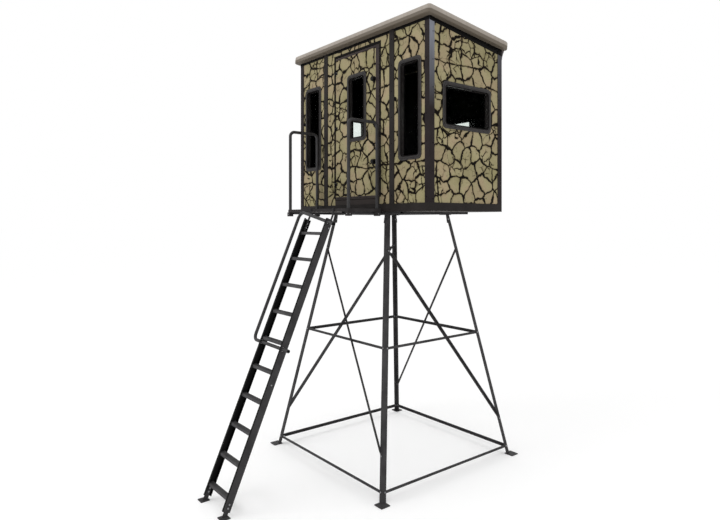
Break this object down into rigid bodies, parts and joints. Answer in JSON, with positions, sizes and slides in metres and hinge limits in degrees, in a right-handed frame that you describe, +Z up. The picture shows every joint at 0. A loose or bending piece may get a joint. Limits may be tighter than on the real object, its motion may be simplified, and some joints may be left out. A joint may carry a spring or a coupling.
{
  "type": "elevated hunting blind",
  "caption": "Hard-sided hunting blind on a braced four-leg steel tower, with a door, opening windows, a porch, grab rails and a leaning ladder with a handrail.",
  "frame": {"origin": "on the ground, at the centre of the tower's four feet", "axes": "+Z up; the door, the porch and the ladder are on the -Y side; +X is to the right of someone facing the door"},
  "size_m": [2.619, 3.655, 5.2189],
  "materials": {
    "tower_steel": "satin charcoal powder coat",
    "ladder_steel": "satin charcoal powder coat",
    "rail_steel": "satin grey powder coat",
    "porch_steel": "satin dark brown paint",
    "bolt_steel": "zinc plated",
    "porch_board": "dark stained boards",
    "cabin_panel": "khaki with a dark cracked pattern",
    "cabin_trim": "dark brown satin",
    "door_edge_trim": "grey satin paint",
    "roof_shell": "tan moulded shell",
    "ceiling_board": "matte",
    "floor_board": "bare sheet board",
    "gasket_rubber": "satin black",
    "window_frame": "black satin paint",
    "window_glass": "tinted",
    "hinge_steel": "black satin paint",
    "knob_metal": "black satin paint"
  },
  "bodies": {
    "tower": {"leg_front_left": "tower_steel", "leg_front_right": "tower_steel", "leg_back_left": "tower_steel", "leg_back_right": "tower_steel", "foot_plates": "tower_steel", "base_ring": "tower_steel", "mid_ring": "tower_steel", "braces": "tower_steel", "leg_cleats": "tower_steel", "tower_bolts": "bolt_steel", "deck_frame": "tower_steel", "porch_beams": "tower_steel", "porch_frame": "porch_steel", "porch_planks": "porch_board", "rail_sockets": "porch_steel", "grab_rail_left": "rail_steel", "grab_rail_right": "rail_steel", "ladder_rail_left": "ladder_steel", "ladder_rail_right": "ladder_steel", "ladder_rungs": "ladder_steel", "ladder_feet": "ladder_steel", "ladder_hooks": "ladder_steel", "ladder_handrail": "rail_steel", "ladder_bolts": "bolt_steel", "base_sill": "cabin_trim", "floor_panel": "floor_board", "corner_posts": "cabin_trim", "wall_battens": "cabin_trim", "front_panel_left": "cabin_panel", "front_panel_right": "cabin_panel", "door_surround": "cabin_panel", "side_panel_left": "cabin_panel", "side_panel_right": "cabin_panel", "back_panel": "cabin_panel", "window_gaskets": "gasket_rubber", "window_hinges": "hinge_steel", "roof_cap": "roof_shell", "ceiling_panel": "ceiling_board", "door_sill": "cabin_trim", "door_hinges": "hinge_steel"},
    "door": {"door_leaf": "cabin_panel", "door_trim": "door_edge_trim", "door_hardware": "hinge_steel", "door_window_gasket": "gasket_rubber", "door_window_hinges": "hinge_steel"},
    "lower_knob": {"door_knob_lower": "knob_metal"},
    "upper_knob": {"door_knob_upper": "knob_metal"},
    "window_front_left": {"sash_front_left": "window_frame", "pane_front_left": "window_glass"},
    "window_front_right": {"sash_front_right": "window_frame", "pane_front_right": "window_glass"},
    "window_door": {"sash_door": "window_frame", "pane_door": "window_glass"},
    "window_side_right": {"sash_side_right": "window_frame", "pane_side_right": "window_glass"},
    "window_side_left": {"sash_side_left": "window_frame", "pane_side_left": "window_glass"},
    "window_back": {"sash_back": "window_frame", "pane_back": "window_glass"}
  },
  "joints": [
    {"name": "door_swing", "type": "hinge", "parent": "tower", "child": "door", "pos_m": [-0.3545, -0.6305, 4.119], "axis": [0, 0, -1], "range_deg": [0, 100]},
    {"name": "lower_knob_turn", "type": "hinge", "parent": "door", "child": "lower_knob", "pos_m": [0.4045, -0.628, 3.644], "axis": [0, -1, 0], "range_deg": [0, 75]},
    {"name": "upper_knob_turn", "type": "hinge", "parent": "door", "child": "upper_knob", "pos_m": [0.4045, -0.628, 4.614], "axis": [0, -1, 0], "range_deg": [0, 75]},
    {"name": "window_front_left_swing", "type": "hinge", "parent": "tower", "child": "window_front_left", "pos_m": [-0.7035, -0.568, 4.174], "axis": [0, 0, -1], "range_deg": [0, 165]},
    {"name": "window_front_right_swing", "type": "hinge", "parent": "tower", "child": "window_front_right", "pos_m": [0.8485, -0.568, 4.174], "axis": [0, 0, 1], "range_deg": [0, 165]},
    {"name": "window_in_door_swing", "type": "hinge", "parent": "door", "child": "window_door", "pos_m": [-0.0935, -0.568, 4.332], "axis": [0, 0, 1], "range_deg": [0, 95]},
    {"name": "window_side_right_swing", "type": "hinge", "parent": "tower", "child": "window_side_right", "pos_m": [1.258, -0.41, 4.204], "axis": [0, 0, 1], "range_deg": [0, 90]},
    {"name": "window_side_left_swing", "type": "hinge", "parent": "tower", "child": "window_side_left", "pos_m": [-1.113, -0.29, 4.204], "axis": [0, 0, -1], "range_deg": [0, 90]},
    {"name": "window_back_swing", "type": "hinge", "parent": "tower", "child": "window_back", "pos_m": [0.905, 0.508, 3.974], "axis": [0, 0, 1], "range_deg": [0, 90]}
  ]
}
